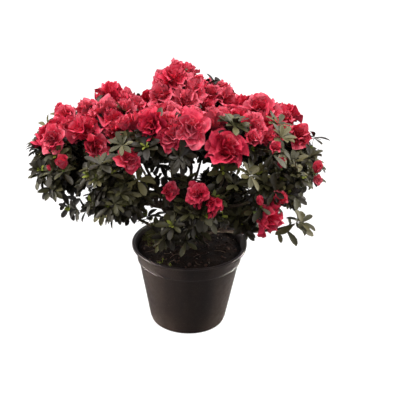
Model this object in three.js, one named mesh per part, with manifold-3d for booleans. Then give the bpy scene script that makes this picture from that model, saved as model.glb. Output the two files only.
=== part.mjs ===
// A potted evergreen azalea: a round nursery pot, its root ball, a short stem that forks into boughs,
// and a domed crown made of separate masses of foliage.
// Millimetres, +Z up. The origin is the centre of the pot's flat underside, and -Y is the front.

import * as THREE from "three";
import { ImprovedNoise } from "three/addons/math/ImprovedNoise.js";
import { mergeVertices } from "three/addons/utils/BufferGeometryUtils.js";
import Module from "manifold-3d";

const wasm = await Module();
wasm.setup();

// ---- driving dimensions -------------------------------------------------------------------------

const POT = {
  rimRadius: 70, // outside of the rolled lip
  height: 104,
  footRadius: 45.5,
  lipDepth: 4,
  collarTop: 65, // outer radius of the collar, just under the lip
  collarFoot: 63,
  collarHeight: 20, // from the top of the lip down to the collar's lower edge
  wall: 1.4,
  floorLift: 2.2, // how far the ring of drainage holes is raised above the ground
  holes: 8,
  holeRadius: 4,
  notches: 4,
  notchTurn: -58, // place of the first notch, from the right
  notchWidth: 18,
  notchHeight: 2.5,
  sides: 28,
};

const SOIL = { drop: 7, dome: 3, gap: 0.3 };

const STEM = {
  foot: 8.5, // how much the root flare adds at the foot
  waist: 6.2,
  head: 7.6,
  height: 26, // from the soil to the fork
  sunk: 6, // how far the foot goes into the root ball
  lean: new THREE.Vector2(3, -2),
  sides: 8,
  steps: 6,
};

const BOUGH = {
  base: 2.8, // radius at the stem
  second: 2, // radius where one leaves another bough
  tip: 1.2,
  bow: 0.22, // how far it arches outwards, as a share of its reach
  sink: 14, // how far its tip goes into its mass
  sides: 5,
  steps: 4,
};

const CROWN = {
  centre: new THREE.Vector2(-14, 8), // the crown grows a little to the left of the pot, and behind it
  stray: 14, // how far a mass may stray sideways from its even place in the ring
  between: 0.8, // gap between neighbouring masses
  lump: 0.36, // how uneven a mass is, as a share of its size
};

const SEAT = 0.37; // clearance of a limb in what carries it

// Each tier is a ring of masses round the crown's axis, counted anticlockwise. They are spread evenly
// from turn, or each is set at one of turns, which are angles in degrees from the right. The ring's
// radii are along X and Y, a mass's size is outwards, sideways and upwards, and forkAt is how far along
// what carries it a bough leaves.
const TIERS = [
  { name: "crown_top", turn: 180, ring: [6, 0], heights: [290], size: [31, 42, 33], detail: 3, forkAt: 1 },
  {
    name: "shoulder",
    turn: 20,
    ring: [86, 70],
    heights: [245, 258, 241, 259, 268, 259],
    size: [48, 52, 30],
    detail: 3,
    forkAt: 0.95,
  },
  {
    name: "skirt",
    turn: 0,
    ring: [140, 100],
    heights: [205, 205, 208, 198, 207, 220, 217, 196, 210],
    scale: [0.95, 1, 1, 1, 1, 1, 1, 0.8, 0.78],
    size: [39, 48, 41],
    detail: 2,
    from: "shoulder",
    forkAt: 0.35,
  },
  {
    name: "apron",
    turns: [54, 104, 198, 270, 342],
    ring: [86, 58],
    heights: [154, 152, 160, 148, 152],
    size: [32, 38, 22],
    detail: 2,
    forkAt: 0.5,
  },
  {
    name: "low_spray",
    turn: -22,
    ring: [154, 115],
    heights: [150],
    size: [18, 19, 21],
    detail: 1,
    from: "apron",
    forkAt: 0.5,
  },
];

const COLOUR = {
  pot: [0x2a2524, 0.5],
  soil: [0x241a14, 0.95],
  bark: [0x4b3a2b, 0.85],
  blossom: [0xb3253d, 0.7],
  leaf: [0x39451f, 0.7],
};

// ---- helpers ------------------------------------------------------------------------------------

const rad = THREE.MathUtils.degToRad;
const noise = new ImprovedNoise();

/** A closed geometry as a manifold-3d solid. */
function solid(geometry) {
  const bare = new THREE.BufferGeometry().setAttribute("position", geometry.getAttribute("position"));
  if (geometry.index) bare.setIndex(geometry.index);
  const merged = mergeVertices(bare, 1e-4);
  return new wasm.Manifold(
    new wasm.Mesh({
      numProp: 3,
      vertProperties: new Float32Array(merged.attributes.position.array),
      triVerts: new Uint32Array(merged.index.array),
    }),
  );
}

/** A manifold-3d solid as a geometry. */
function geometryOf(made) {
  const { numProp, numVert, vertProperties, triVerts } = made.getMesh();
  const xyz = new Float32Array(numVert * 3);
  for (let i = 0; i < numVert; i++) xyz.set(vertProperties.subarray(i * numProp, i * numProp + 3), i * 3);
  return new THREE.BufferGeometry()
    .setAttribute("position", new THREE.BufferAttribute(xyz, 3))
    .setIndex(new THREE.BufferAttribute(new Uint32Array(triVerts), 1));
}

/** A body of revolution about Z from (radius, height) pairs that start and end on the axis. */
function turned(profile) {
  const outline = profile.map(([r, z]) => new THREE.Vector2(r, z));
  return solid(new THREE.LatheGeometry(outline, POT.sides).rotateX(Math.PI / 2));
}

/** A tapering limb: a turned spindle of unit length, bent along a curve. Grow makes it fatter and longer. */
function limb(path, radiusAt, { sides, steps }, grow) {
  const profile = [new THREE.Vector2(0, 0)];
  for (let i = 0; i <= steps; i++) profile.push(new THREE.Vector2(radiusAt(i / steps) + grow, i / steps));
  profile.push(new THREE.Vector2(0, 1));
  const spindle = new THREE.LatheGeometry(profile, sides);
  const { tangents, normals, binormals } = path.computeFrenetFrames(steps);
  const places = spindle.getAttribute("position");
  for (let i = 0; i < places.count; i++) {
    const k = Math.round(places.getY(i) * steps);
    const past = k === 0 ? -grow : k === steps ? grow : 0;
    const at = path
      .getPointAt(k / steps)
      .addScaledVector(tangents[k], past)
      .addScaledVector(normals[k], places.getX(i))
      .addScaledVector(binormals[k], -places.getZ(i));
    places.setXYZ(i, at.x, at.y, at.z);
  }
  return solid(spindle);
}

const root = new THREE.Group();

function place(name, made, [color, roughness]) {
  const material = new THREE.MeshStandardMaterial({ color, roughness, metalness: 0 });
  const mesh = new THREE.Mesh(geometryOf(made), material);
  mesh.name = name;
  root.add(mesh);
}

// ---- the pot ------------------------------------------------------------------------------------

const bodyTop = POT.height - POT.collarHeight;
const bodyTopRadius = POT.collarFoot - 1.5;

const lipFoot = POT.height - POT.lipDepth;
const floor = POT.floorLift + POT.wall;

/** The pot's inner face, from the floor up to just under the lip, as (radius, height) pairs. */
const INNER = [
  [POT.footRadius - POT.wall - 0.8, floor],
  [POT.footRadius - POT.wall + 0.2, floor + 1],
  [bodyTopRadius - POT.wall, bodyTop - 2],
  [POT.collarTop - POT.wall, lipFoot - 1.5],
];

function pot() {
  const { height, rimRadius, collarTop, collarFoot, floorLift } = POT;
  const shell = turned([
    [0, 0],
    [POT.footRadius - 1, 0],
    [POT.footRadius, 1.2],
    [bodyTopRadius, bodyTop - 1],
    [collarFoot - 0.4, bodyTop - 0.6],
    [collarFoot, bodyTop + 0.6],
    [collarTop, lipFoot],
    [rimRadius - 0.6, lipFoot + 0.3],
    [rimRadius, lipFoot + 1.4],
    [rimRadius, height - 1],
    [rimRadius - 0.9, height],
    [rimRadius - 2.8, height],
    [rimRadius - 3.6, height - 1],
    ...INNER.toReversed(),
    [0, floor],
  ]);
  // Between the middle pad and the outer foot the floor is a raised ring, with the drainage holes in it.
  const ring = { inner: POT.footRadius * 0.5, outer: POT.footRadius * 0.84 };
  let cut = turned([
    [0, -1],
    [ring.outer, -1],
    [ring.outer - 1, floorLift],
    [0, floorLift],
  ]).subtract(
    turned([
      [0, -2],
      [ring.inner, -2],
      [ring.inner, floorLift + 1],
      [0, floorLift + 1],
    ]),
  );
  const holeRing = (ring.inner + ring.outer) / 2;
  for (let i = 0; i < POT.holes; i++) {
    const turn = ((i + 0.5) / POT.holes) * 2 * Math.PI;
    const hole = new THREE.CylinderGeometry(POT.holeRadius, POT.holeRadius, 12, 8).rotateX(Math.PI / 2);
    hole.translate(holeRing * Math.cos(turn), holeRing * Math.sin(turn), floorLift);
    cut = cut.add(solid(hole));
  }
  for (let i = 0; i < POT.notches; i++) {
    // Low arches through the outer foot let the water run out from under the pot.
    const turn = rad(POT.notchTurn + (360 * i) / POT.notches);
    const arch = new THREE.CylinderGeometry(POT.notchWidth / 2, POT.notchWidth / 2, 16, 12);
    arch.rotateZ(Math.PI / 2).scale(1, 1, (2 * POT.notchHeight) / POT.notchWidth);
    cut = cut.add(solid(arch.translate(POT.footRadius - 2, 0, 0).rotateZ(turn)));
  }
  return shell.subtract(cut);
}

// ---- the root ball ------------------------------------------------------------------------------

const soilTop = POT.height - SOIL.drop;

function soil() {
  const sides = INNER.slice(0, 3).map(([r, z], i) => [r - SOIL.gap, z + (i < 2 ? SOIL.gap : 0)]);
  const edge = soilTop - 1.5;
  const [[r0, z0], [r1, z1]] = INNER.slice(2);
  const rim = THREE.MathUtils.mapLinear(edge, z0, z1, r0, r1) - SOIL.gap;
  return turned([
    [0, floor + SOIL.gap],
    ...sides,
    [rim, edge],
    [rim * 0.72, soilTop + SOIL.dome * 0.4],
    [rim * 0.35, soilTop + SOIL.dome * 0.85],
    [0, soilTop + SOIL.dome],
  ]);
}

// ---- the stem and its boughs --------------------------------------------------------------------

const stemFoot = new THREE.Vector3(0, 0, soilTop + SOIL.dome);
const fork = stemFoot.clone().add(new THREE.Vector3(STEM.lean.x, STEM.lean.y, STEM.height));

/** The short stem: flared where it meets the soil, waisted, and swollen where it forks. */
function stem(grow = 0) {
  const foot = stemFoot.clone().setZ(stemFoot.z - STEM.sunk);
  const waist = stemFoot.clone().setZ(stemFoot.z + STEM.height * 0.4);
  const radiusAt = (t) => {
    const flare = STEM.foot * Math.exp(-6 * t);
    const swell = (STEM.head - STEM.waist) * THREE.MathUtils.smoothstep(t, 0.5, 1);
    return STEM.waist + flare + swell;
  };
  return limb(new THREE.QuadraticBezierCurve3(foot, waist, fork), radiusAt, STEM, grow);
}

/** The curve of a bough from where it starts to where it ends: outwards first, then upwards. */
function boughPath(start, end) {
  const across = new THREE.Vector3(end.x - start.x, end.y - start.y, 0);
  const middle = start.clone().lerp(end, 0.5).addScaledVector(across, BOUGH.bow);
  middle.z -= (end.z - start.z) * BOUGH.bow;
  return new THREE.QuadraticBezierCurve3(start, middle, end);
}

/** One tapering bough along its curve. */
function bough(path, base, grow = 0) {
  return limb(path, (t) => THREE.MathUtils.lerp(base, BOUGH.tip, t), BOUGH, grow);
}

/** The biggest of the separate pieces that a cut has left. */
function biggest(made) {
  return made.decompose().reduce((best, piece) => (piece.volume() > best.volume() ? piece : best));
}

// ---- the masses of foliage ----------------------------------------------------------------------

/** Every mass with its tier's sizes, its centre, and out, the way from the crown's axis to it. */
function layOut() {
  const masses = [];
  for (const tier of TIERS) {
    const count = tier.heights.length;
    tier.heights.forEach((height, i) => {
      const turn = rad(tier.turns?.[i] ?? tier.turn + (i / count) * 360);
      const seed = masses.length * 7.31;
      const stray = (axis) => CROWN.stray * noise.noise(seed, axis * 3.7, 0.5);
      const out = new THREE.Vector3(Math.cos(turn), Math.sin(turn), 0);
      const centre = new THREE.Vector3(
        CROWN.centre.x + tier.ring[0] * out.x + stray(1),
        CROWN.centre.y + tier.ring[1] * out.y + stray(2),
        height,
      );
      const name = count === 1 ? tier.name : tier.name + "_" + (i + 1);
      const size = tier.size.map((each) => each * (tier.scale?.[i] ?? 1));
      masses.push({ ...tier, name, tier: tier.name, size, centre, out, seed, flowering: height > 240 });
    });
  }
  return masses;
}

/** How far a mass reaches from its centre in a direction, before it is made uneven. */
function reachOf({ size, out }, way) {
  const outward = way.dot(out);
  const sideways = -way.x * out.y + way.y * out.x;
  return 1 / Math.hypot(outward / size[0], sideways / size[1], way.z / size[2]);
}

/** One mass: an uneven ball, flattened where a neighbour grows against it. */
function mass(me, masses) {
  const ball = new THREE.IcosahedronGeometry(1, me.detail);
  const places = ball.getAttribute("position");
  const walls = masses
    .filter((other) => other !== me)
    .map((other) => {
      const to = other.centre.clone().sub(me.centre);
      const apart = to.length();
      to.normalize();
      const mine = reachOf(me, to);
      const its = reachOf(other, to.clone().negate());
      const share = 0.5 + (mine * mine - its * its) / (2 * apart * apart);
      return { to, at: apart * THREE.MathUtils.clamp(share, 0.2, 0.8) - CROWN.between / 2 };
    });
  const way = new THREE.Vector3();
  for (let i = 0; i < places.count; i++) {
    way.fromBufferAttribute(places, i).normalize();
    const coarse = noise.noise(way.x * 1.7 + me.seed, way.y * 1.7, way.z * 1.7);
    const fine = noise.noise(way.x * 3.9, way.y * 3.9 + me.seed, way.z * 3.9);
    let reach = reachOf(me, way) * (1 + CROWN.lump * (coarse + 0.5 * fine));
    for (const { to, at } of walls) {
      const facing = way.dot(to);
      if (facing > 0) reach = Math.min(reach, at / facing);
    }
    way.multiplyScalar(reach).add(me.centre);
    places.setXYZ(i, way.x, way.y, way.z);
  }
  return solid(ball);
}

/** Where on the stem the bough to a mass leaves it. */
function stemPoint(me) {
  const at = stemFoot.clone().lerp(fork, me.forkAt);
  return at.addScaledVector(me.out, STEM.waist * 0.5);
}

/** Of some limbs, the one that grows most nearly in the direction of a mass. */
function nearestLimb(me, limbs) {
  return limbs.reduce((best, one) => (one.out.dot(me.out) > best.out.dot(me.out) ? one : best));
}

// ---- assembly -----------------------------------------------------------------------------------

place("pot", pot(), COLOUR.pot);
const trunk = stem();
place("root_ball", soil().subtract(stem(SEAT)), COLOUR.soil);
place("main_stem", trunk, COLOUR.bark);

const masses = layOut();
const limbs = [];
let grown = stem(SEAT);
for (const me of masses) {
  const parent = me.from && nearestLimb(me, limbs.filter((one) => one.tier === me.from));
  const start = parent ? parent.path.getPointAt(me.forkAt) : stemPoint(me);
  const inward = start.clone().sub(me.centre).normalize();
  // A bough ends a little way inside its mass, on the side it comes from.
  const end = me.centre.clone().addScaledVector(inward, reachOf(me, inward) - BOUGH.sink);
  const path = boughPath(start, end);
  const base = parent ? BOUGH.second : BOUGH.base;
  place("bough_to_" + me.name, biggest(bough(path, base).subtract(grown)), COLOUR.bark);
  grown = grown.add(bough(path, base, SEAT));
  limbs.push({ tier: me.tier, path, out: me.out });
}
for (const me of masses) {
  place(me.name, biggest(mass(me, masses).subtract(grown)), me.flowering ? COLOUR.blossom : COLOUR.leaf);
}

export default root;
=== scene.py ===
# %% [markdown]
# # A potted azalea in full bloom
# The plant comes in as a set of plain solids: a pot, a root ball, a short stem, its boughs, and some
# twenty closed lumps that stand for the crown. This script keeps every place and size they give, and
# puts the real thing there: bark, twigs, whorls of leaves, and ruffled double blooms.
#
# Everything is in metres. +Z is up, and -Y is the front of the plant. Where a table is in millimetres
# instead, a comment beside it says so.

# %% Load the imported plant
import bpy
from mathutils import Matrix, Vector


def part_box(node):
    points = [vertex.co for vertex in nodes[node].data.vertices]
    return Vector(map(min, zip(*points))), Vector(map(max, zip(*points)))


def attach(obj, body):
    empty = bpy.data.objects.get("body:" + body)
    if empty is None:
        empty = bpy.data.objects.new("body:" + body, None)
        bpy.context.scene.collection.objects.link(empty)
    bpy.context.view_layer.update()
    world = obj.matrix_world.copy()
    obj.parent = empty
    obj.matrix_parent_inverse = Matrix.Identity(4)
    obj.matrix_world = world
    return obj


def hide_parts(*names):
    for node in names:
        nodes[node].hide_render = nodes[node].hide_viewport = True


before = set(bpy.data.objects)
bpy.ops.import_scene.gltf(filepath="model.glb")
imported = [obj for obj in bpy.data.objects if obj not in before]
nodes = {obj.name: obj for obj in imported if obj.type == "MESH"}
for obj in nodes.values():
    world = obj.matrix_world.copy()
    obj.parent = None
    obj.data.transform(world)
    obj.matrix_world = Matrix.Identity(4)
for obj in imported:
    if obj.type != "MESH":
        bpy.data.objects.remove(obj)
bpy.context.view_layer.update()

# %% Tools used all through
import math

import bmesh
import bpy
import numpy as np
from mathutils import Matrix, Vector
from mathutils.bvhtree import BVHTree
from mathutils.noise import noise_vector, seed_set

MM = 0.001
UP = np.array([0.0, 0.0, 1.0])
SCENE = bpy.context.scene


def unit(v):
    """The same direction, with a length of one."""
    v = np.asarray(v, float)
    return v / max(np.linalg.norm(v), 1e-12)


def ease(x, low, high):
    """0 below low, 1 above high, and a smooth rise between."""
    t = np.clip((x - low) / (high - low), 0, 1)
    return t * t * (3 - 2 * t)


def level_way(turn):
    """The level direction that lies at an angle from +X."""
    return np.array([math.cos(turn), math.sin(turn), 0])


def facing(axis, turn=0.0):
    """A 3x3 matrix whose third column is axis, turned about it. It stands a shape made along +Z on axis."""
    z = unit(axis)
    x = unit(np.cross([0.3, 0.9, 0.2] if abs(z[1]) < 0.8 else [1, 0, 0], z))
    y = np.cross(z, x)
    c, s = math.cos(turn), math.sin(turn)
    return np.stack([c * x + s * y, c * y - s * x, z], axis=1)


# %% [markdown]
# ## Many small shapes as a few meshes
# A crown has thousands of leaves and petals. As separate objects they would be slow and hard to hand
# on, and instances are lost when a model is exported. So each kind is gathered in a heap: lists of
# points, faces and the number of each face's tint, which become one mesh with one material per tint.

# %% A heap of small shapes
class Heap:
    """Points, faces and tints of many small shapes that will be one mesh."""

    def __init__(self):
        self.points, self.loops, self.sizes, self.tints, self.count = [], [], [], [], 0

    def add(self, points, faces, tint):
        """faces is an array with one row per face, all of the same number of corners."""
        self.points.append(points)
        self.extend(faces + self.count, tint)
        self.count += len(points)

    def extend(self, faces, tint):
        """Adds faces on points that are already in the heap."""
        self.loops.append(faces.ravel())
        self.sizes.append(np.full(len(faces), faces.shape[1]))
        self.tints.append(np.broadcast_to(tint, len(faces)))

    def triangles(self):
        return int(sum((s - 2).sum() for s in self.sizes))

    def mesh(self, name, materials, slot, replaced=()):
        """Makes the mesh, gives it its materials, and rides it on the plant. slot is not used."""
        made = bpy.data.meshes.new(name)
        points, loops, sizes = (np.concatenate(x) for x in (self.points, self.loops, self.sizes))
        made.vertices.add(len(points))
        made.vertices.foreach_set("co", points.astype(np.float32).ravel())
        made.loops.add(len(loops))
        made.loops.foreach_set("vertex_index", loops.astype(np.int32))
        made.polygons.add(len(sizes))
        starts = np.concatenate([[0], np.cumsum(sizes)[:-1]])
        made.polygons.foreach_set("loop_start", starts.astype(np.int32))
        made.polygons.foreach_set("material_index", np.concatenate(self.tints).astype(np.int32))
        for material in materials:
            made.materials.append(material)
        made.update(calc_edges=True)
        made.shade_smooth()
        return keep(bpy.data.objects.new(name, made), replaced, self.triangles())


def keep(piece, replaced=(), triangles=None):
    """Puts a finished piece in the scene, on the plant's one body, in place of the solids it stands for."""
    if piece.name not in SCENE.collection.objects:
        SCENE.collection.objects.link(piece)
    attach(piece, "root")
    if replaced:
        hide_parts(*replaced)
    print(piece.name, "triangles:", triangles or sum(len(p.vertices) - 2 for p in piece.data.polygons))
    return piece

# %% [markdown]
# ## Surfaces
# Two things make a finish: its colour and its relief. Leaves, petals and twigs take plain colours, a
# few tints of each, dealt out shoot by shoot, with a step up or down from leaf to leaf and petal to
# petal. One group of nodes serves them all: a fine grain that breaks up the gloss, over soft folds a
# few millimetres wide. The pot, the bark and the soil each get a group of their own, because there
# the colour changes from place to place.

# %% Node helpers
def new_group(name, inputs, outputs):
    """An empty shader group with named sockets, and its tree's two ends."""
    tree = bpy.data.node_groups.new(name, "ShaderNodeTree")
    for label, kind, value in inputs:
        socket = tree.interface.new_socket(label, in_out="INPUT", socket_type="NodeSocket" + kind)
        socket.default_value = value
    for label, kind in outputs:
        tree.interface.new_socket(label, in_out="OUTPUT", socket_type="NodeSocket" + kind)
    return tree, tree.nodes.new("NodeGroupInput"), tree.nodes.new("NodeGroupOutput")


def node(tree, kind, settings=None, **inputs):
    """Adds a node. Settings are its options, and inputs are sockets to link or numbers to set."""
    made = tree.nodes.new("ShaderNode" + kind)
    for key, value in (settings or {}).items():
        setattr(made, key, value)
    for key, value in inputs.items():
        socket = made.inputs[int(key[1:])] if key[1:].isdigit() else made.inputs[key.replace("_", " ")]
        if isinstance(value, bpy.types.NodeSocket):
            tree.links.new(value, socket)
        else:
            socket.default_value = value
    return made


def maths(tree, operation, *values, clamp=False):
    """The result of a sum on two or three values, each a socket to link or a number."""
    inputs = {f"_{i}": value for i, value in enumerate(values)}
    return node(tree, "Math", {"operation": operation, "use_clamp": clamp}, **inputs).outputs[0]


def blend_colour(tree, amount, low, high):
    """A mix of two colours, or of a colour and another mix."""
    mix = node(tree, "Mix", {"data_type": "RGBA"})
    for socket, value in zip((mix.inputs[0], mix.inputs[6], mix.inputs[7]), (amount, low, high)):
        if isinstance(value, bpy.types.NodeSocket):
            tree.links.new(value, socket)
        else:
            socket.default_value = value
    return mix.outputs[2]


# %% Soft patches
def patches(tree, where, size, detail=3.0, low=0.35, high=0.65, stretch=None):
    """Soft-edged patches of about a size in metres, as a value from 0 to 1."""
    if stretch:
        where = node(tree, "Mapping", Vector=where, Scale=stretch).outputs[0]
    noise = node(tree, "TexNoise", Vector=where, Scale=1 / size, Detail=detail)
    return node(tree, "MapRange", Value=noise.outputs[0], From_Min=low, From_Max=high).outputs[0]


# %% A material, and a colour for it
def finish(name, group=None, settings=None, **plain):
    """A material: Principled BSDF with plain values, and a group's Color, Roughness and Normal."""
    material = bpy.data.materials.new(name)
    material.use_nodes = True
    tree = material.node_tree
    shader = tree.nodes["Principled BSDF"]
    for key, value in plain.items():
        shader.inputs[key.replace("_", " ")].default_value = value
    if group:
        surface = tree.nodes.new("ShaderNodeGroup")
        surface.node_tree = group
        for key, value in (settings or {}).items():
            surface.inputs[key].default_value = value
        for socket in surface.outputs:
            tree.links.new(socket, shader.inputs["Base Color" if socket.name == "Color" else socket.name])
    return material


def colour(red, green, blue):
    """A colour as seen on a screen, 0 to 255, as the linear light that the shaders work in."""
    seen = np.array([red, green, blue]) / 255
    return (*np.where(seen <= 0.04045, seen / 12.92, ((seen + 0.055) / 1.055) ** 2.4), 1.0)


# %% A fine grain for leaves, petals and twigs
grain, start, end = new_group(
    "fine grain",
    [("Size", "Float", 1.0), ("Depth", "Float", 0.1), ("Smooth", "Float", 0.35), ("Rough", "Float", 0.6),
     ("Crumple", "Float", 0.0)],
    [("Roughness", "Float"), ("Normal", "Vector")],
)
place = node(grain, "TexCoord").outputs["Object"]
scale = maths(grain, "DIVIDE", 1 / MM, start.outputs["Size"])
noise = node(grain, "TexNoise", Vector=place, Scale=scale, Detail=3.0).outputs[0]
rough = node(grain, "MapRange", Value=noise, From_Min=0.3, From_Max=0.7,
             To_Min=start.outputs["Smooth"], To_Max=start.outputs["Rough"]).outputs[0]
bump = node(grain, "Bump", Height=noise, Strength=start.outputs["Depth"], Distance=0.3 * MM).outputs[0]
folds = node(grain, "TexNoise", Vector=place, Scale=1 / (3.5 * MM), Detail=2.0).outputs[0]
crumple = start.outputs["Crumple"]
bump = node(grain, "Bump", Height=folds, Strength=crumple, Distance=2 * MM, Normal=bump).outputs[0]
grain.links.new(rough, end.inputs["Roughness"])
grain.links.new(bump, end.inputs["Normal"])
print("fine grain nodes:", len(grain.nodes))

# %% [markdown]
# ## One petal
# An azalea petal stands on a narrow claw, opens into a broad blade and curls back at its tip. Its
# margin grew faster than its middle, so it had to buckle into ruffles. A flat shape with a bump map
# would lose that outline, so the petal is a fan of lines from its foot to points round its margin.
# Most of the mesh's points then lie on the margin, where the ruffles need them. The fan is laid along
# a curved midline, and it waves in and out more and more towards the margin. Its throat is a tint
# darker and parts of its edge a tint or two lighter, as thin petal lets light through.

# %% Petal
def outline(across, rng):
    """Points round a petal one long: how far along it they lie, and how far to the side."""
    turn = np.linspace(-0.83, 0.83, across + 1) * math.pi
    point = rng.uniform(-0.05, 0.1) * np.exp(-((turn / 0.3) ** 2))
    frill = 1 + sum(
        size * np.sin(turn * count + rng.uniform(0, 6))
        for size, count in ((0.05, rng.uniform(2, 3)), (0.03, rng.uniform(4, 6)))
    )
    return 0.57 + 0.43 * np.cos(turn) * frill + point, 0.5 * np.sin(turn) * frill


def petal(length, width, lean, ruffle, cup, rng, rows, across):
    """Points, faces and shade of a petal that rises along +Z at the origin and leans towards +X.

    lean is its angle from +Z at its foot and at its tip. ruffle and cup are shares of its length.
    """
    reach = 1 - (1 - np.linspace(0.03, 1, rows + 1)[:, None]) ** 1.5
    margin_along, margin_side = outline(across, rng)
    along, side = reach * margin_along, reach * margin_side
    t = np.linspace(0, 1.15, 24)
    angle = lean[0] + (lean[1] - lean[0]) * t**1.3
    out = np.interp(along, t, np.cumsum(np.sin(angle)) * t[1]) * length
    rise = np.interp(along, t, np.cumsum(np.cos(angle)) * t[1]) * length
    tilt = np.interp(along, t, angle)
    u = np.linspace(-1, 1, across + 1)
    ripples = ((0.7, rng.uniform(0.8, 1.6)), (0.7, rng.uniform(2, 3)), (0.45, rng.uniform(3.8, 5.2)))
    waves = sum(size * np.sin(math.pi * count * u + rng.uniform(0, 2 * math.pi)) for size, count in ripples)
    waves = waves * ease(reach, 0.3, 1.1)
    crease = -0.05 * np.exp(-((u / 0.12) ** 2)) * ease(reach, 0.1, 0.4) * ease(-reach, -1, -0.7)
    lift = length * (ruffle * waves + 3 * cup * side**2 + crease)
    lift = lift + width * side * np.sin(rng.normal(0, 0.25) * along)
    sway = 0.1 * length * rng.normal() * along**2
    points = np.stack([out - lift * np.cos(tilt), width * side + sway, rise + lift * np.sin(tilt)], axis=-1)
    k = np.arange(rows)[:, None] * (across + 1) + np.arange(across)[None, :]
    faces = np.stack([k, k + 1, k + across + 2, k + across + 1], axis=-1).reshape(-1, 4)
    zone = np.zeros((rows, across), int)
    # Parts of the last two rows are a tint or two paler: painted light, for light that comes through the thin
    # margin.
    zone[-2] = rng.choice([0, 1], across)
    zone[-1] = np.repeat(rng.choice([0, 1, 2], across // 2, p=[0.2, 0.45, 0.35]), 2)
    zone[: rows // 3] = -1
    return points.reshape(-1, 3), faces, zone.ravel()


# %% [markdown]
# ## One bloom
# The bloom is double: an outer funnel of five broad petals, a second set in their gaps, and a knot of
# small crumpled ones where most of the stamens have turned into petals. Each set is narrower and more
# upright than the one outside it, and its tips stand higher. A half-open bloom has one ring fewer and
# leans less, and a bud has only two rings, wrapped tight. So each kind of bloom is a table of rings,
# and one function makes them all.

# %% Rings of petals
# For each ring: petals, length and width as shares of the bloom's radius, lean at the foot and tip in
# degrees, and ruffle and cup as shares of a petal's length. The rings go from the outside in.
OPEN = [
    (5, 1.12, 1.00, 36, 98, 0.15, 0.04),
    (5, 1.05, 0.92, 24, 78, 0.18, 0.06),
    (5, 0.98, 0.80, 14, 54, 0.20, 0.08),
    (4, 0.90, 0.66, 6, 36, 0.22, 0.10),
    (4, 0.80, 0.52, -4, 18, 0.24, 0.10),
]
LOOSE = [
    (5, 1.15, 0.90, 16, 60, 0.14, 0.12),
    (5, 1.05, 0.82, 10, 46, 0.17, 0.12),
    (4, 0.94, 0.64, 4, 32, 0.19, 0.14),
    (3, 0.84, 0.48, -2, 16, 0.20, 0.16),
]
TULIP = [(5, 1.15, 0.76, 10, 22, 0.04, 0.26), (4, 1.05, 0.7, 5, 12, 0.05, 0.30)]
BUD = [(5, 0.95, 0.58, 14, -10, 0.015, 0.30), (3, 0.9, 0.5, 8, -10, 0.02, 0.34)]
# Rows from foot to tip and steps round the margin of a petal, ring by ring from the outside in.
PETAL_GRIDS = [(5, 30), (5, 24), (4, 18), (4, 14), (3, 10)]
RING_RISE = 0.1  # how far each ring starts above the one outside it, as a share of the radius
# The knot's paler tint is painted light, for light that comes through the petals into the bloom's shaded
# middle.
PAINTED_LIGHT_KNOT = 3  # the first of the rings that make the knot in the middle, which is a tint paler

# Petal tints are numbered from 0, the darkest. The calyx and the filaments come after them.
PETAL_TINTS, CALYX, FILAMENT = 6, 6, 7
print("petals in an open bloom:", sum(ring[0] for ring in OPEN), "half open:", sum(ring[0] for ring in LOOSE))


# %% Bloom
def bloom(heap, foot, axis, radius, rings, tint, rng):
    """Adds a bloom whose base is at foot and which opens along axis."""
    stand = facing(axis, rng.uniform(0, 2 * math.pi))
    for level, (count, length, width, low, high, ruffle, cup) in enumerate(rings):
        rows, across = PETAL_GRIDS[level]
        for i in range(count):
            turn = 2 * math.pi * (i + 0.5 * level + rng.normal(0, 0.1)) / count
            lean = np.radians([low + rng.normal(0, 5), high + rng.normal(0, 13)])
            size = radius * rng.uniform(0.86, 1.1)
            wavy = ruffle * rng.uniform(0.7, 1.4)
            points, faces, zone = petal(length * size, width * size, lean, wavy, cup, rng, rows, across)
            c, s = math.cos(turn), math.sin(turn)
            points = points @ np.array([[c, s, 0], [-s, c, 0], [0, 0, 1]])
            points = foot + (points + UP * RING_RISE * radius * level) @ stand.T
            # The knot's step and the paler margin steps are painted light; the random step is a petal's own
            # tone.
            shade = tint + zone + int(rng.choice([-1, 0, 0, 1])) + (level >= PAINTED_LIGHT_KNOT)
            heap.add(points, faces, np.clip(shade, 0, PETAL_TINTS - 1))
    calyx(heap, foot, stand, radius)


def calyx(heap, foot, stand, radius, sides=6):
    """The small green cup under a bloom."""
    turn = np.linspace(0, 2 * math.pi, sides, endpoint=False)
    ring = np.stack([np.cos(turn), np.sin(turn), 0 * turn], axis=1)
    # Its own radius at each height, both as shares of the bloom's radius.
    levels = ((0.045, -0.16), (0.10, -0.06), (0.12, 0.08))
    points = np.concatenate([(ring * wide + UP * rise) * radius for wide, rise in levels])
    k = np.arange(2 * sides)
    n = k // sides * sides + (k + 1) % sides
    heap.add(foot + points @ stand.T, np.stack([k, n, n + sides, k + sides], axis=1), CALYX)


# %% A tube along a path
def tube(heap, path, radii, sides, tint):
    """A thin tapering tube. It serves for twigs, stalks and filaments."""
    path = np.asarray(path)
    ways = np.gradient(path, axis=0)
    ways /= np.linalg.norm(ways, axis=1, keepdims=True)
    across = np.cross(ways, unit(np.cross(ways.mean(axis=0), [0.31, 0.17, 0.53])))
    across /= np.linalg.norm(across, axis=1, keepdims=True)
    other = np.cross(ways, across)
    turn = np.linspace(0, 2 * math.pi, sides, endpoint=False)[None, :, None]
    ring = np.cos(turn) * across[:, None] + np.sin(turn) * other[:, None]
    points = path[:, None] + np.asarray(radii)[:, None, None] * ring
    k = np.arange(len(path) - 1)[:, None] * sides + np.arange(sides)[None, :]
    n = np.arange(len(path) - 1)[:, None] * sides + (np.arange(sides) + 1)[None, :] % sides
    faces = np.stack([k, n, n + sides, k + sides], axis=-1).reshape(-1, 4)
    heap.add(points.reshape(-1, 3), faces, tint)


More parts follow.
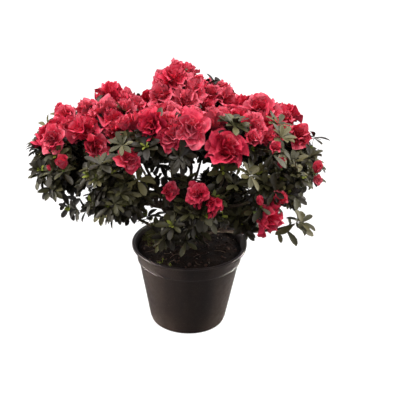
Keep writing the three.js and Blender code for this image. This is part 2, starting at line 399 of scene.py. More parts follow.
# %% Filaments
def stamens(heap, foot, axis, radius, rng):
    """A few thin filaments that stand out of the middle of a bloom and bow upwards."""
    for _ in range(rng.integers(2, 5)):
        way = unit(axis + rng.normal(0, 0.22, 3))
        reach = radius * rng.uniform(0.9, 1.15)
        t = np.linspace(0, 1, 5)[:, None]
        path = foot + way * t * reach + UP * 0.25 * reach * t**2
        tube(heap, path, np.linspace(0.28, 0.2, 5) * MM, 3, FILAMENT)


# %% [markdown]
# ## Leaves
# The leaves are ovals, most of them 12 to 20 mm long, broadest past their middle, folded along the
# midrib and bent down at the tip. They crowd in whorls at the shoot tips, and some whorls have bright
# young ones in the middle. A dozen slightly different leaves are made once, and each leaf on the
# plant is a turned and sized copy of one.

# %% Leaf shapes
def leaf_shape(width, fold, curl, twist):
    """Points of a leaf one long, along +X, with its face towards +Z."""
    along = np.array([0.1, 0.3, 0.52, 0.74, 0.91])
    half = width / 2 * np.array([0.2, 0.6, 0.93, 0.97, 0.62])
    points = [[0, 0, 0]]
    for x, h in zip(along, half):
        points += [[x, -h, fold * h + twist * x * h], [x, 0, 0], [x, h, fold * h - twist * x * h]]
    points = np.array([*points, [1, 0, 0]])
    points[:, 2] -= curl * points[:, 0] ** 2
    return points


LEAF_QUADS = np.array([[a + 3, a + 4, a + 1, a] for row in (1, 4, 7, 10) for a in (row, row + 1)])
LEAF_TIPS = np.array([[0, 1, 2], [0, 2, 3], [13, 16, 14], [14, 16, 15]])
rng = np.random.default_rng(3)
LEAVES = []
for _ in range(12):
    width, fold, curl = rng.uniform(0.34, 0.45), rng.uniform(0.15, 0.5), rng.uniform(0.0, 0.28)
    LEAVES.append(leaf_shape(width, fold, curl, rng.normal(0, 0.2)))
# The two tints that each kind of leaf may have, numbered from 0, the darkest. Tints 0 to 3 are one
# green from painted shade to painted light: leaves in the shade take the darkest two and leaves in the
# light the lightest two. The young kind is the yellow-green of new leaves.
LEAF_TINTS = {"painted_shade": (0, 1), "plain": (1, 2), "light": (2, 3), "young": (4, 5)}
print("leaf shapes:", len(LEAVES), "tints:", LEAF_TINTS)


# %% One leaf, and a ring of them
def place_leaf(heap, shape, foot, way, face, tint):
    """Adds a leaf shape that grows from foot along way with its upper face towards face."""
    x = unit(way)
    z = unit(face - x * np.dot(face, x))
    points = foot + shape @ np.stack([x, np.cross(z, x), z])
    heap.add(points, LEAF_QUADS, tint)
    heap.extend(LEAF_TIPS + heap.count - len(points), tint)


def leaf(heap, foot, way, face, length, kind, rng):
    """Adds one of the dozen leaves, in one of the tints of its kind."""
    shape = LEAVES[rng.integers(len(LEAVES))] * length
    place_leaf(heap, shape, foot, way, face, LEAF_TINTS[kind][rng.integers(2)])


WHORL_VARIES = (0.75, 1.15)  # least and greatest share of its length that a leaf in a whorl gets


def whorl(heap, tip, axis, count, length, spread, kind, rng):
    """A ring of leaves at a shoot tip. spread is their angle from the shoot, in degrees."""
    stand = facing(axis, rng.uniform(0, 2 * math.pi))
    for i in range(count):
        turn = 2 * math.pi * (i + rng.normal(0, 0.12)) / count
        lean = math.radians(spread + rng.normal(0, 9))
        way = stand @ [math.sin(lean) * math.cos(turn), math.sin(lean) * math.sin(turn), math.cos(lean)]
        foot = tip - axis * rng.uniform(0, 3) * MM
        leaf(heap, foot, way, axis + 0.5 * UP, length * rng.uniform(*WHORL_VARIES), kind, rng)

# %% [markdown]
# ## Where the shoots end
# Each closed lump of the crown says where a cloud of shoots ends. Rays sent evenly out of its middle
# find places on its surface, about a shoot's width apart. Places pressed against a neighbouring lump
# are thinned out, as little light gets there and few shoots live.

# %% Masses and shoot tips
MASSES = sorted(name for name in nodes if "bough_to_" + name in nodes)
TIER_OF = {name: name.rstrip("_0123456789") for name in MASSES}
CLOUD = {
    "crown_top": "canopy", "shoulder": "canopy", "skirt": "skirt", "apron": "apron", "low_spray": "apron",
}
RAY_GAP = 9 * MM
# A place is pressed when another lump is this near. Only this share of the pressed places is kept.
PRESSED = 5 * MM
PRESSED_KEPT = 0.2


def points_of(name):
    """The corners of a solid."""
    mesh = nodes[name].data
    flat = np.empty(len(mesh.vertices) * 3)
    mesh.vertices.foreach_get("co", flat)
    return flat.reshape(-1, 3)


def rays_even(count):
    """Directions spread evenly over a sphere, along a spiral."""
    k = np.arange(count) + 0.5
    height = 1 - 2 * k / count
    turn = k * math.pi * (3 - math.sqrt(5))
    return np.stack([np.cos(turn), np.sin(turn), height / np.sqrt(1 - height**2)], axis=1)


hull = {}
for name in MASSES:
    corners = points_of(name)
    faces = [tuple(p.vertices) for p in nodes[name].data.polygons]
    hull[name] = (corners.mean(axis=0), BVHTree.FromPolygons(corners.tolist(), faces))

rng = np.random.default_rng(11)
sites = []
for name in MASSES:
    middle, skin = hull[name]
    area = sum(p.area for p in nodes[name].data.polygons)
    for ray in rays_even(int(area / RAY_GAP**2)):
        place, face, _, _ = skin.ray_cast(Vector(middle), Vector(ray + rng.normal(0, 0.06, 3)))
        if place is None:
            continue
        near = min(hull[other][1].find_nearest(place)[3] or 1 for other in MASSES if other != name)
        if near > PRESSED or rng.random() < PRESSED_KEPT:
            sites.append({"mass": name, "place": np.array(place), "face": np.array(face)})
print("places for shoots:", len(sites))

# %% [markdown]
# ## Which shoots flower
# On an azalea nearly every shoot that reaches the light ends in flowers, and those in the shade carry
# only leaves. So the highest, most upward-facing tips are given blooms first, down to a line that
# rises and falls round the crown, and each next one only if it keeps its distance. A bloom is set in
# from the skin of its lump by its own height, so its petals end about there. The blooms that stand
# apart, and some whorls of leaves that stand out, are listed one by one. The other shoots get leaves,
# except close among the top blooms, and in the gaps where the crown lets light through. The highest
# blooms are a tint paler, painted light on the lit top of the crown, and the lowest a tint darker,
# painted shade.

# %% Where shoots flower
BLOOM_GAP = 18 * MM
BLOOM_RADIUS = (16, 22)  # least and greatest, in millimetres
OPEN_SHARE = 0.85  # the share of the blooms that are fully open
# The heights above which a bloom is a tint paler, painted light on the lit top of the crown, and below
# which it is a tint darker, painted shade.
PAINTED_LIGHT_ABOVE = 0.29
PAINTED_SHADE_BELOW = 0.265
# How much farther in than its own height a bloom is set.
SET_IN = {"crown_top": 4 * MM, "shoulder": 4 * MM, "skirt": 3 * MM, "apron": 0.0, "low_spray": 0.0}
# The height below which no shoot flowers, by direction round the plant in degrees from +X.
BLOOM_LINE = [
    (-180, 0.245), (-150, 0.255), (-135, 0.265), (-120, 0.28), (-100, 0.275), (-60, 0.27),
    (-40, 0.265), (-20, 0.24), (20, 0.235), (120, 0.235), (180, 0.245),
]
CROWN_TOP_LINE = 0.24  # the same for the topmost lump, all the way round
# The least distance between leafy shoots. The low spray's are all listed one by one.
SHOOT_GAP = {"crown_top": 30 * MM, "shoulder": 16 * MM, "skirt": 15 * MM, "apron": 13 * MM, "low_spray": 1.0}
# A leafy shoot keeps more than BESIDE_BLOOM from the blooms and from the listed whorls. One
# nearer than AMONG_BLOOMS is set deep, or left out if it is in the canopy and its face points up more
# than FACES_UP.
BESIDE_BLOOM = 10 * MM
AMONG_BLOOMS = 25 * MM
DEEP_INSET = 22 * MM
FACES_UP = 0.4

# %% Blooms listed one by one
# Kind, middle, the way it faces, radius in millimetres and tint of the blooms that stand apart.
LONE = [
    (LOOSE, (-0.024, -0.094, 0.214), (0.5, -0.4, 0.6), 15, 3),
    (OPEN, (0.009, -0.104, 0.217), (-0.3, -0.8, 0.4), 15, 2),
    (LOOSE, (0.024, -0.106, 0.208), (0.5, -0.6, -0.3), 16, 1),
    (OPEN, (0.038, -0.078, 0.260), (0.25, -0.3, 0.9), 27, 2),
    (OPEN, (-0.001, -0.086, 0.286), (0.1, -0.7, 0.6), 22, 3),
    (OPEN, (-0.042, -0.086, 0.288), (-0.4, -0.6, 0.2), 21, 1),
    (LOOSE, (0.066, -0.072, 0.270), (0.3, -0.5, 0.8), 15, 3),
    (OPEN, (0.124, 0.016, 0.240), (0.5, -0.3, 0.8), 21, 3),
    (LOOSE, (0.092, -0.070, 0.260), (0.1, -0.3, 0.9), 11, 3),
    (TULIP, (0.101, -0.060, 0.236), (-0.1, -0.1, 1.0), 11, 3),
    (TULIP, (0.146, -0.018, 0.213), (0.3, -0.1, 1.0), 13, 3),
    (LOOSE, (0.145, -0.024, 0.202), (0.6, -0.6, 0.1), 9, 5),
    (OPEN, (0.086, -0.086, 0.183), (0.93, -0.25, -0.25), 24, 2),
    (LOOSE, (0.100, -0.083, 0.203), (0.5, -0.3, 0.8), 14, 3),
    (BUD, (0.078, -0.094, 0.206), (-0.15, -0.2, 1.0), 14, 3),
    (OPEN, (-0.155, -0.045, 0.252), (-0.4, -0.7, 0.5), 18, 3),
    (OPEN, (-0.138, -0.025, 0.258), (0.0, -0.6, 0.7), 20, 3),
    (LOOSE, (-0.106, -0.066, 0.253), (0.3, -0.8, 0.2), 23, 3),
    (TULIP, (-0.142, -0.072, 0.234), (-0.1, -0.3, 1.0), 16, 3),
    (BUD, (-0.157, -0.070, 0.228), (-0.1, -0.2, 1.0), 8, 3),
    (LOOSE, (-0.067, -0.098, 0.254), (0.3, -0.7, 0.2), 18, 3),
    (TULIP, (-0.072, -0.084, 0.286), (-0.1, -0.3, 1.0), 16, 4),
    (LOOSE, (-0.096, 0.030, 0.279), (0.1, 0.0, 1.0), 14, 3),
    (TULIP, (-0.155, 0.020, 0.262), (-0.2, 0.0, 1.0), 13, 3),
    (OPEN, (-0.147, 0.006, 0.260), (-0.3, -0.4, 0.9), 18, 3),
]
print("blooms set by hand:", len(LONE))

# %% Gaps, whorls and leaves listed one by one
# Where the crown is open: the middle of each gap between its sprays, and its radius in millimetres.
OPEN_AIR = [
    ((-0.055, -0.062, 0.128), 30),
    ((0.108, -0.070, 0.165), 20),
    ((-0.043, -0.083, 0.218), 22),
    ((-0.045, 0.062, 0.156), 35),
]
# Whorls of leaves that stand out from the rest, and the way they face.
SPRAYS = [
    ((0.050, -0.094, 0.226), (0.2, -0.5, 0.8)),
    ((-0.074, -0.096, 0.270), (0.1, -0.4, 0.9)),
    ((0.131, -0.042, 0.156), (0.1, -0.3, 0.9)),
    ((-0.127, -0.080, 0.182), (-0.5, -0.5, -0.6)),
    ((-0.137, -0.065, 0.178), (-0.4, -0.4, -0.9)),
    ((-0.050, -0.045, 0.160), (-0.3, -0.4, 0.6)),
    ((-0.048, -0.030, 0.228), (0.0, -0.4, -0.8)),
    ((-0.036, -0.034, 0.221), (0.1, -0.4, -0.8)),
    ((-0.022, -0.028, 0.223), (0.0, -0.4, -0.8)),
    ((-0.009, -0.032, 0.228), (0.0, -0.4, -0.8)),
    ((0.041, -0.030, 0.220), (0.0, -0.4, -0.8)),
    ((0.054, -0.030, 0.222), (0.0, -0.4, -0.8)),
    ((0.069, -0.030, 0.217), (0.0, -0.4, -0.8)),
    ((0.085, -0.032, 0.213), (0.2, -0.4, -0.8)),
    ((0.099, -0.020, 0.270), (0.4, -0.2, 0.9)),
    ((0.047, -0.065, 0.283), (0.1, -0.5, 0.8)),
    ((0.101, -0.045, 0.263), (0.4, -0.4, 0.8)),
    ((0.066, -0.088, 0.234), (0.2, -0.5, 0.8)),
    ((0.036, -0.086, 0.238), (-0.2, -0.5, 0.8)),
]
# Single leaves along the low spray: where each starts, the way it grows, its length in millimetres.
LOW_LEAVES = [
    ((0.113, -0.034, 0.142), (0.6, -0.2, -0.77), 25),
    ((0.124, -0.036, 0.148), (0.9, -0.2, -0.35), 25),
    ((0.122, -0.036, 0.148), (-0.8, -0.6, -0.2), 21),
    ((0.112, -0.033, 0.142), (-0.5, -0.7, 0.1), 18),
    ((0.104, -0.031, 0.138), (0.3, -0.6, -0.6), 15),
    ((0.117, -0.034, 0.145), (0.1, -0.5, 0.7), 16),
    ((0.119, -0.035, 0.146), (-0.3, -0.3, 0.9), 15),
]
print("gaps:", len(OPEN_AIR), "whorls set by hand:", len(SPRAYS), "low leaves:", len(LOW_LEAVES))


# %% Questions about a place
def nearest_mass(place):
    """The lump of the crown whose skin is nearest to a place."""
    return min(MASSES, key=lambda name: hull[name][1].find_nearest(Vector(place))[3])


class Taken:
    """Places already given away."""

    def __init__(self, places=()):
        self.places = np.array(places, float).reshape(-1, 3)

    def gap(self, place):
        """Distance from a place to the nearest one taken."""
        return np.linalg.norm(self.places - place, axis=1).min() if len(self.places) else 1.0

    def add(self, place):
        self.places = np.vstack([self.places, place])


def covered(place):
    """Whether a lump of the canopy hangs over a place."""
    canopy = [hull[name][1] for name in MASSES if CLOUD[TIER_OF[name]] == "canopy"]
    above = Vector(place) + Vector((0, 0, 25 * MM))
    return any(skin.ray_cast(above, Vector((0, 0, 1)))[0] is not None for skin in canopy)


def in_open_air(place):
    """Whether a place is in one of the gaps between the sprays."""
    return any(math.dist(place, middle) < radius * MM for middle, radius in OPEN_AIR)


def support(radius, axis, face):
    """How far a bloom that opens along axis reaches from its foot towards face."""
    rise = float(np.dot(axis, face))
    return radius * max(rise, 0.95 * math.sqrt(max(1 - rise * rise, 0)) + 0.5 * rise)


# %% Blooms
blooms = []
for rings, middle, way, size, tint in LONE:
    axis, radius = unit(way), size * MM
    foot = np.array(middle) - axis * 0.5 * radius
    mass = nearest_mass(middle)
    blooms.append({"mass": mass, "foot": foot, "axis": axis, "rings": rings, "radius": radius, "tint": tint})
flowering = Taken([middle for _, middle, _, _, _ in LONE] + [place for place, _ in SPRAYS])
for site in sorted(sites, key=lambda s: -s["face"][2] - 2 * s["place"][2] + rng.normal(0, 0.15)):
    x, y, z = site["place"]
    line = np.interp(math.degrees(math.atan2(y, x)), *zip(*BLOOM_LINE))
    line = CROWN_TOP_LINE if site["mass"] == "crown_top" else line
    light = ease(site["face"][2], -0.05, 0.45) * ease(z, line, line + 0.015)
    if light < rng.uniform(0.2, 0.8) or flowering.gap(site["place"]) < BLOOM_GAP:
        continue
    flowering.add(site["place"])
    open_wide = rng.random() < OPEN_SHARE
    radius = rng.uniform(*BLOOM_RADIUS) * MM * (1 if open_wide else 0.9)
    axis = unit(site["face"] + 0.5 * UP + rng.normal(0, 0.3, 3))
    depth = support(radius, axis, site["face"]) + SET_IN[TIER_OF[site["mass"]]]
    blooms.append({
        "mass": site["mass"],
        "foot": site["place"] - site["face"] * depth,
        "axis": axis,
        "rings": OPEN if open_wide else LOOSE,
        "radius": radius,
        # A tint paler high up is painted light, and a tint darker low down is painted shade.
        "tint": int(rng.choice([2, 3, 3, 4])) + (z > PAINTED_LIGHT_ABOVE) - (z < PAINTED_SHADE_BELOW),
    })
print("blooms:", len(blooms))

# %% Leafy shoots
shoots = [
    {"mass": nearest_mass(place), "place": np.array(place), "face": unit(way), "inset": 0.0}
    for place, way in SPRAYS
]
leafy = Taken([shoot["place"] for shoot in shoots])
for i in rng.permutation(len(sites)):
    place, rise, tier = sites[i]["place"], sites[i]["face"][2], TIER_OF[sites[i]["mass"]]
    if in_open_air(place):
        continue
    bloom_gap = flowering.gap(place)
    if bloom_gap < AMONG_BLOOMS and rise > FACES_UP and CLOUD[tier] == "canopy":
        continue
    if bloom_gap > BESIDE_BLOOM and leafy.gap(place) > SHOOT_GAP[tier]:
        leafy.add(place)
        hanging = 8 * MM * ease(-rise, 0.2, 0.6)
        inset = DEEP_INSET if bloom_gap < AMONG_BLOOMS else rng.uniform(8, 12) * MM + hanging
        shoots.append({**sites[i], "inset": inset})
print("leafy shoots:", len(shoots))

# %% [markdown]
# ## Growing twigs out of the boughs
# A bough ends just inside its lump. From there the growing rule repeats: the shoot tips still to be
# reached are split into a few bunches, a twig goes part of the way to each bunch, and the same is done
# again from its end until every twig has one tip. A twig is thicker the more tips it feeds, and it
# starts in the way of the one before it, so it bends as real ones do. Leaves sit along these inner
# twigs, so the crown is not hollow, in the darkest tints, which are painted shade. Whorls under the
# canopy mostly take darker tints than those in the light: painted shade and painted light.

# %% Growing rule
TWIG_TINTS = {"old": 0, "young": 1}
LAST_TWIG = 0.42 * MM  # radius of a twig that feeds one tip
# How many leaves sit along each inner twig.
INNER_LEAVES = {"crown_top": 4, "shoulder": 10, "skirt": 10, "apron": 10, "low_spray": 2}


def bunches(ends, count):
    """Splits places into bunches round those that lie farthest apart."""
    chosen = [0]
    spread = np.linalg.norm(ends - ends[0], axis=1)
    while len(chosen) < min(count, len(ends)):
        chosen.append(int(spread.argmax()))
        spread = np.minimum(spread, np.linalg.norm(ends - ends[chosen[-1]], axis=1))
    nearest = np.linalg.norm(ends[:, None] - ends[chosen][None], axis=2).argmin(axis=1)
    return [np.flatnonzero(nearest == i) for i in range(len(chosen))]


def bent(start, way, end, steps=6):
    """A path that leaves start along way and arrives at end."""
    t = np.linspace(0, 1, steps)[:, None]
    middle = start + way * np.linalg.norm(end - start) * 0.45
    return (1 - t) ** 2 * start + 2 * t * (1 - t) * middle + t**2 * end


def thickness(tips):
    """Radius of a twig that feeds so many shoot tips."""
    return LAST_TWIG * tips**0.36


def grow(heap, start, way, ends, reached, inner, first=True):
    """Grows twigs from start to all the ends.

    reached[i] gets the path of the last twig to end i, and inner the paths of the forked ones.
    """
    places = np.array([place for _, place in ends])
    for bunch in bunches(places, 4 if first else 3):
        if len(bunch) == 1:
            number, place = ends[bunch[0]]
            path = bent(start, way, place)
            thick = thickness(1)
            tube(heap, path, np.linspace(thick, 0.7 * thick, len(path)), 4, TWIG_TINTS["young"])
            reached[number] = path
            continue
        aim = places[bunch].mean(axis=0) - start
        fork = start + aim * rng.uniform(0.4, 0.52) + rng.normal(0, 1.5 * MM, 3)
        path = bent(start, way, fork)
        wide = thickness(len(bunch))
        tube(heap, path, np.linspace(wide, 0.85 * wide, len(path)), 5, TWIG_TINTS["old"])
        inner.append(path)
        grow(heap, fork, unit(path[-1] - path[-2]), [ends[i] for i in bunch], reached, inner, False)


# %% Where a bough ends
def bough_end(name):
    """The tip of a mass's bough, and the way it points there."""
    corners = points_of("bough_to_" + name)
    near = np.argsort(np.linalg.norm(corners - hull[name][0], axis=1))
    tip = corners[near[:6]].mean(axis=0)
    return tip, unit(tip - corners[near[8:14]].mean(axis=0))


# %% Heaps for the crown
heaps = {cloud: {"leaves": Heap(), "twigs": Heap()} for cloud in ("canopy", "skirt", "apron")}
# The blooms go in four heaps, one for each quarter round their common middle, so none is too heavy.
CROWN_X, CROWN_Y = np.mean([b["foot"][:2] for b in blooms], axis=0)
blossom = {quarter: Heap() for quarter in ("front_left", "front_right", "back_left", "back_right")}
print("middle of the blooms:", round(CROWN_X, 3), round(CROWN_Y, 3))

# %% Leaves and blooms on a shoot
# Least and greatest length, in millimetres, of the leaves of a whorl and of those along a twig.
WHORL_LEAF = (15, 20)
TWIG_LEAF = (12, 18)
COLLAR_LEAF = 18 * MM  # the leaves right under a bloom


def dress_leafy(heap, shoot, path):
    """A whorl at the shoot's tip, leaves along its last twig, and often young leaves in the middle."""
    axis = unit(unit(path[-1] - path[-3]) + 0.7 * shoot["face"] + 1.2 * UP + rng.normal(0, 0.2, 3))
    # A whorl that faces up takes lighter tints, and one under the canopy darker ones: painted light and
    # painted shade.
    lit = shoot["face"][2] + rng.normal(0, 0.4) - 0.6 * covered(path[-1])
    kind = "light" if lit > 0.5 else "plain" if lit > -0.2 else "painted_shade"
    length = rng.uniform(*WHORL_LEAF) * MM
    whorl(heap, path[-1], axis, int(rng.integers(6, 10)), length, rng.uniform(55, 80), kind, rng)
    if rng.random() < 0.3:
        whorl(heap, path[-1], axis, 4, 0.5 * length, 28, "young", rng)
    along_twig(heap, path, int(rng.integers(3, 7)), kind)


def along_twig(heap, path, count, kind):
    """Leaves set one after another round a twig."""
    turn = rng.uniform(0, 2 * math.pi)
    for i in range(count):
        at = rng.uniform(0.35, 0.95) * (len(path) - 1)
        low = int(at)
        foot = path[low] + (path[low + 1] - path[low]) * (at - low)
        if in_open_air(foot):
            continue
        axis = unit(path[low + 1] - path[low])
        out = facing(axis, turn + 2.4 * i)[:, 0]
        leaf(heap, foot, out + 0.5 * axis, axis + UP, rng.uniform(*TWIG_LEAF) * MM, kind, rng)


def dress_bloom(leaves, flower):
    """A bloom on the shoot's tip, over a collar of leaves."""
    foot, axis, radius = flower["foot"], flower["axis"], flower["radius"]
    side = "left" if foot[0] < CROWN_X else "right"
    heap = blossom[("front_" if foot[1] < CROWN_Y else "back_") + side]
    bloom(heap, foot, axis, radius, flower["rings"], flower["tint"], rng)
    if flower["rings"] is OPEN and rng.random() < 0.15:
        stamens(heap, foot, axis, radius, rng)
    whorl(leaves, foot - axis * 2 * MM, axis, 4, COLLAR_LEAF, 92, "plain", rng)


# %% Growing the crown
for name in MASSES:
    leaves, twigs = heaps[CLOUD[TIER_OF[name]]].values()
    flowers = [b for b in blooms if b["mass"] == name]
    green = [s for s in shoots if s["mass"] == name]
    ends = [f["foot"] for f in flowers] + [s["place"] - s["face"] * s["inset"] for s in green]
    start, way = bough_end(name)
    reached, inner = {}, []
    grow(twigs, start, way, list(enumerate(ends)), reached, inner)
    # Leaves along the inner twigs, and the two along each bloom's twig, take the darkest tints: painted
    # shade.
    for path in inner:
        along_twig(leaves, path, INNER_LEAVES[TIER_OF[name]], "painted_shade")
    for number, path in sorted(reached.items()):
        if number < len(flowers):
            dress_bloom(leaves, flowers[number])
            along_twig(leaves, path, 2, "painted_shade")
        else:
            dress_leafy(leaves, green[number - len(flowers)], path)

# The low spray's single leaves take lighter tints: painted light.
for foot, way, size in LOW_LEAVES:
    leaf(heaps["apron"]["leaves"], np.array(foot), way, UP + [0, -0.5, 0], size * MM, "light", rng)
print("petal triangles:", sum(heap.triangles() for heap in blossom.values()))

# %% Petal, leaf and twig finishes
petal_look = {"Size": 0.9, "Depth": 0.25, "Smooth": 0.45, "Rough": 0.65, "Crumple": 0.3}
# Six tints of one red, darkest first. Some steps between them are a bloom's or petal's own tone, at random;
# the paler margins, the paler knot, the paler high blooms and the darker low blooms are painted light and
# painted shade.
PETALS = [(166, 21, 51), (192, 35, 67), (208, 46, 77), (218, 60, 87), (221, 75, 98), (219, 98, 116)]
petal_finishes = [
    finish(f"petal_{i}", grain, petal_look, Base_Color=colour(*shade), Specular_IOR_Level=0.3)
    for i, shade in enumerate(PETALS)
]
petal_finishes.append(finish("calyx_green", grain, petal_look, Base_Color=colour(104, 122, 56)))
petal_finishes.append(finish("filament_pink", grain, petal_look, Base_Color=colour(206, 104, 124)))

leaf_look = {"Size": 0.7, "Depth": 0.2, "Smooth": 0.36, "Rough": 0.52, "Crumple": 0.15}
# Tints 0 to 3 are one leaf green, from painted shade to painted light; 4 and 5 are young leaves.
GREENS = [(28, 25, 15), (42, 40, 23), (66, 66, 39), (98, 95, 60), (106, 118, 40), (134, 144, 58)]
leaf_finishes = [
    finish(f"leaf_{i}", grain, leaf_look, Base_Color=colour(*shade), Specular_IOR_Level=0.38)
    for i, shade in enumerate(GREENS)
]
twig_look = {"Size": 0.6, "Depth": 0.5, "Smooth": 0.6, "Rough": 0.85}
twig_finishes = [
    finish("twig_old", grain, twig_look, Base_Color=colour(70, 54, 42)),
    finish("twig_young", grain, twig_look, Base_Color=colour(92, 88, 54)),
]
print("petal tints:", len(PETALS), "leaf tints:", len(GREENS), "twig tints:", len(twig_finishes))

# %% The crown's pieces
for cloud, kinds in heaps.items():
    stood_for = [name for name in MASSES if CLOUD[TIER_OF[name]] == cloud]
    kinds["leaves"].mesh("leaves_" + cloud, leaf_finishes, "foliage", stood_for)
    kinds["twigs"].mesh("twigs_" + cloud, twig_finishes, "bark")
for quarter, heap in blossom.items():
    heap.mesh("blossom_" + quarter, petal_finishes, "blossom")

# %% [markdown]
# ## Bark
# The stem and the boughs come in as straight-sided solids with a hair of space between them, as the
# tests need. On the plant they are one piece of wood. A voxel remesh fuses them: it fills the space
# that slightly swollen copies take up with small cubes and wraps one skin round it. The skin is then
# smoothed, and pushed in and out along the limbs to give the fine furrows that old azalea wood has.

# %% Wood
seed_set(5)  # without this noise_vector is seeded by the clock, here and in the soil
WOOD = ["main_stem"] + ["bough_to_" + name for name in MASSES]
SWELL = 0.45 * MM
VOXEL = 1.05 * MM
FURROW_SIZE = 2.2 * MM
FURROW_DEPTH = 0.32 * MM


def evaluated(piece):
    """The piece's mesh with its modifiers applied, as a new mesh."""
    SCENE.collection.objects.link(piece)
    made = bpy.data.meshes.new_from_object(piece.evaluated_get(bpy.context.evaluated_depsgraph_get()))
    SCENE.collection.objects.unlink(piece)
    return made


# %% One piece of wood
joined = bmesh.new()
for name in WOOD:
    part = bmesh.new()
    part.from_mesh(nodes[name].data)
    part.normal_update()
    for corner in part.verts:
        corner.co += corner.normal * SWELL
    swollen = bpy.data.meshes.new("swollen")
    part.to_mesh(swollen)
    joined.from_mesh(swollen)
rough_wood = bpy.data.meshes.new("rough_wood")
joined.to_mesh(rough_wood)
fused = bpy.data.objects.new("fused", rough_wood)
remesh = fused.modifiers.new("skin", "REMESH")
remesh.mode = "VOXEL"
remesh.voxel_size = VOXEL
smooth = fused.modifiers.new("smooth", "SMOOTH")
smooth.factor = 0.5
smooth.iterations = 6
wood_mesh = evaluated(fused)
print("wood faces:", len(wood_mesh.polygons))


# %% Furrows
def furrow(mesh, size, depth, stretch):
    """Pushes each corner along its normal by noise that is drawn out upwards."""
    for corner, normal in zip(mesh.vertices, [v.normal.copy() for v in mesh.vertices]):
        x, y, z = corner.co
        wave = noise_vector(Vector((x, y, z / stretch)) / size)
        corner.co += normal * depth * (wave.x + 0.5 * wave.y)


furrow(wood_mesh, FURROW_SIZE, FURROW_DEPTH, 4.0)
wood_mesh.shade_smooth()

# %% Bark finish
bark, start, end = new_group(
    "bark",
    [("Old", "Color", colour(84, 70, 58)), ("Green", "Color", colour(92, 88, 58)), ("Depth", "Float", 0.5)],
    [("Color", "Color"), ("Roughness", "Float"), ("Normal", "Vector")],
)
place = node(bark, "TexCoord").outputs["Object"]
drawn = node(bark, "Mapping", Vector=place, Scale=(1, 1, 0.25)).outputs[0]
cells = node(bark, "TexVoronoi", {"feature": "DISTANCE_TO_EDGE"}, Vector=drawn, Scale=1 / (2.4 * MM))
cracks = node(bark, "MapRange", Value=cells.outputs[0], From_Max=0.25).outputs[0]
lichen = patches(bark, place, 7 * MM, 4.0, 0.5, 0.68)
fibre = patches(bark, drawn, 0.7 * MM, 3.0, 0.3, 0.7)
base = blend_colour(bark, lichen, start.outputs["Old"], start.outputs["Green"])
dark = blend_colour(bark, cracks, colour(40, 32, 27), base)
bark.links.new(blend_colour(bark, fibre, dark, base), end.inputs["Color"])
rough = node(bark, "MapRange", Value=fibre, To_Min=0.7, To_Max=0.92).outputs[0]
bark.links.new(rough, end.inputs["Roughness"])
height = maths(bark, "MULTIPLY_ADD", cracks, 0.7, fibre)
bump = node(bark, "Bump", Height=height, Strength=start.outputs["Depth"], Distance=0.4 * MM).outputs[0]
bark.links.new(bump, end.inputs["Normal"])

wood_mesh.materials.clear()
wood_mesh.materials.append(finish("bark", bark, {"Depth": 0.6}, Specular_IOR_Level=0.3))
keep(bpy.data.objects.new("wood", wood_mesh), WOOD)

# %% [markdown]
# ## The nursery pot
# The pot is thin black-brown plastic, blown or moulded, with a rolled lip, a collar that stiffens its
# mouth and a foot with low arches. Everything but the arches and holes is the same all the way round,
# so it is a profile turned about the axis, with each corner of the profile rounded by its own radius.
# The plastic is softly glossy outside and dull inside, where soil and water have been at it, and a
# film of dust lies thickest near the foot.

# %% Pot profile
_, pot_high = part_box("pot")
RIM = pot_high[0]
TOP = pot_high[2]
FOOT = 45.5 * MM
COLLAR_FOOT = 63 * MM
COLLAR_TOP = 65 * MM
COLLAR_HEIGHT = 20 * MM
BODY_TOP = 61.5 * MM
WALL = 1.4 * MM
LIP_DEPTH = 4 * MM
FLOOR = 2.2 * MM


def rounded(corners, steps=4):
    """An outline of (radius, height, round) corners, each replaced by a curve of that round."""
    outline = []
    for i, (r, z, size) in enumerate(corners):
        here = np.array([r, z])
        sides = [np.array(corners[j][:2]) - here for j in (max(i - 1, 0), min(i + 1, len(corners) - 1))]
        if size == 0 or not all(np.linalg.norm(side) for side in sides):
            outline.append(here)
            continue
        ends = [here + unit(side) * min(size, 0.45 * np.linalg.norm(side)) for side in sides]
        for t in np.linspace(0, 1, steps + 1):
            outline.append((1 - t) ** 2 * ends[0] + 2 * t * (1 - t) * here + t**2 * ends[1])
    return np.array(outline)


def turned(name, outline, sides=144):
    """A closed surface made by turning an outline, which starts and ends on the axis, about Z."""
    made = bmesh.new()
    turn = np.linspace(0, 2 * math.pi, sides, endpoint=False)
    rings = []
    for r, z in outline:
        if r < 1e-6:
            rings.append([made.verts.new((0, 0, z))])
        else:
            rings.append([made.verts.new((r * math.cos(a), r * math.sin(a), z)) for a in turn])
    for low, high in zip(rings, rings[1:]):
        for i in range(sides):
            n = (i + 1) % sides
            corners = [low[i % len(low)], low[n % len(low)], high[n % len(high)], high[i % len(high)]]
            made.faces.new(list(dict.fromkeys(corners)))
    bmesh.ops.recalc_face_normals(made, faces=made.faces)
    mesh = bpy.data.meshes.new(name)
    made.to_mesh(mesh)
    return mesh


